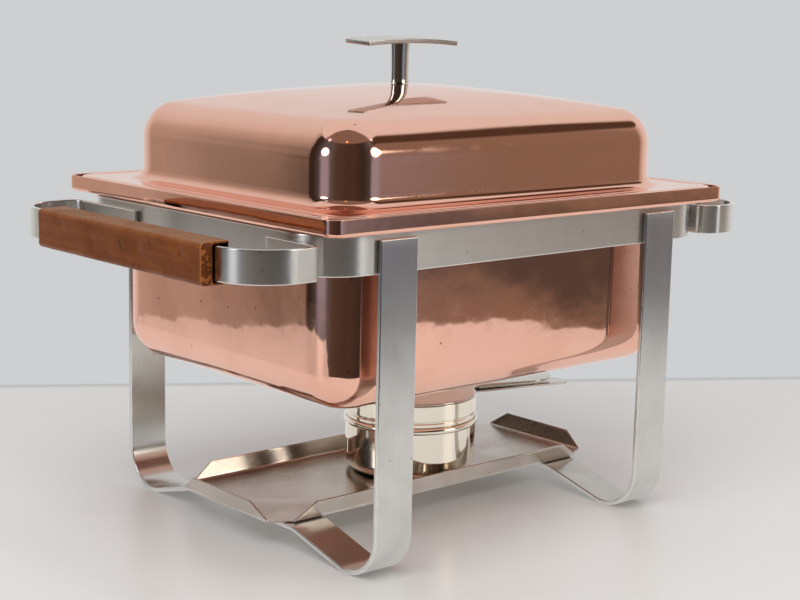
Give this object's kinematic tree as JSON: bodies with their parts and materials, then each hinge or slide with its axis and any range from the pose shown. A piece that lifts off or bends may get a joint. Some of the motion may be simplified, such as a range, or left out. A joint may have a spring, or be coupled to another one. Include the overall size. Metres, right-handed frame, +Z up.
{
  "type": "chafing dish food warmer",
  "caption": "Rectangular copper-clad chafing dish with crowned lid, strip-steel stand, wooden side grips, water and food pans, and a fuel burner on a tray.",
  "frame": {"origin": "on the surface it stands on, under the middle of the stand", "axes": "+X along the long side to the right grip, +Y to the back, +Z up"},
  "size_m": [0.4808, 0.302, 0.335],
  "materials": {
    "brushed_strip": "brushed stainless strip",
    "tray_sheet": "warm tarnished stainless sheet",
    "teak": "oiled hardwood, worn edges",
    "screw_steel": "turned steel",
    "copper_cladding": "mirror-polished copper",
    "pan_steel": "satin stainless",
    "polished_steel": "polished stainless"
  },
  "bodies": {
    "stand": {"top_band": "brushed_strip", "leg_strip_left": "brushed_strip", "leg_strip_right": "brushed_strip", "burner_tray": "tray_sheet", "handle_bow_left": "brushed_strip", "grip_left": "teak", "handle_bow_right": "brushed_strip", "grip_right": "teak", "grip_screw_left_front": "screw_steel", "grip_screw_left_rear": "screw_steel", "grip_screw_right_front": "screw_steel", "grip_screw_right_rear": "screw_steel"},
    "water_pan": {"water_pan": "copper_cladding"},
    "food_pan": {"food_pan": "pan_steel"},
    "lid": {"lid_shell": "copper_cladding", "knob_post": "polished_steel", "knob_plate": "brushed_strip", "knob_washer": "screw_steel", "knob_screw": "screw_steel"},
    "burner": {"burner_cup": "polished_steel", "fuel_pot": "polished_steel", "pot_top": "polished_steel", "pot_handle": "polished_steel", "pivot_pin": "screw_steel", "pivot_washer": "screw_steel"},
    "snuffer": {"snuffer_lid": "polished_steel"}
  },
  "joints": [
    {"name": "water_pan_lift", "type": "slide", "parent": "stand", "child": "water_pan", "axis": [0, 0, 1], "range_m": [0, 0.15]},
    {"name": "food_pan_lift", "type": "slide", "parent": "water_pan", "child": "food_pan", "axis": [0, 0, 1], "range_m": [0, 0.09]},
    {"name": "lid_lift", "type": "slide", "parent": "food_pan", "child": "lid", "axis": [0, 0, 1], "range_m": [0, 0.12]},
    {"name": "burner_slide", "type": "slide", "parent": "stand", "child": "burner", "axis": [1, 0, 0], "range_m": [-0.105, 0.08]},
    {"name": "snuffer_swing", "type": "hinge", "parent": "burner", "child": "snuffer", "pos_m": [0.07226, -0.01021, 0.076], "axis": [0, 0, 1], "range_deg": [0, 95]}
  ]
}
